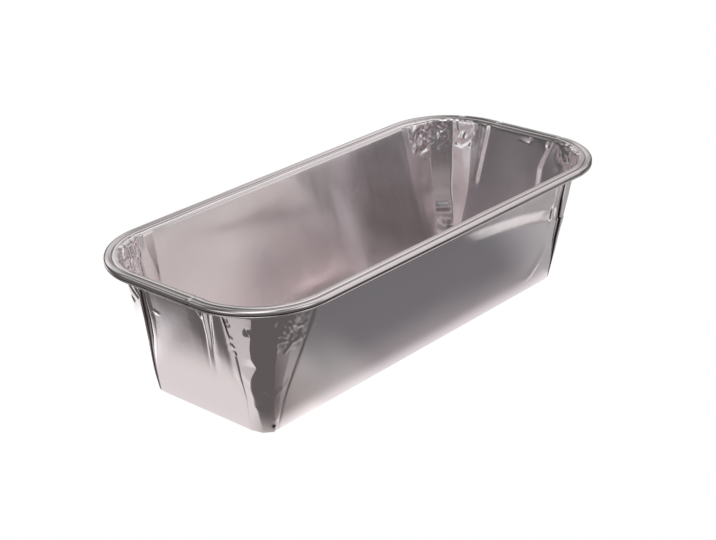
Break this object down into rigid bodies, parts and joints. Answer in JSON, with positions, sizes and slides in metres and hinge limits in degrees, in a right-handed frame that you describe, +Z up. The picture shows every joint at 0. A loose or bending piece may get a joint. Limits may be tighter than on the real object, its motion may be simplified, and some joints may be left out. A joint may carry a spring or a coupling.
{
  "type": "foil loaf pan",
  "caption": "Open tapered loaf pan pressed from thin aluminium foil, with gathered corners, a flat flange and a curled rim, for baking or holding food.",
  "frame": {"origin": "middle of the underside of the flat bottom, which stands on z = 0", "axes": "+X along the pan's length, +Y across its width, +Z up out of the open top"},
  "size_m": [0.23, 0.105, 0.06],
  "materials": {
    "foil": "semi-gloss rolled foil with soft, blurred reflections"
  },
  "bodies": {
    "root": {"loaf_pan": "foil"}
  },
  "joints": []
}
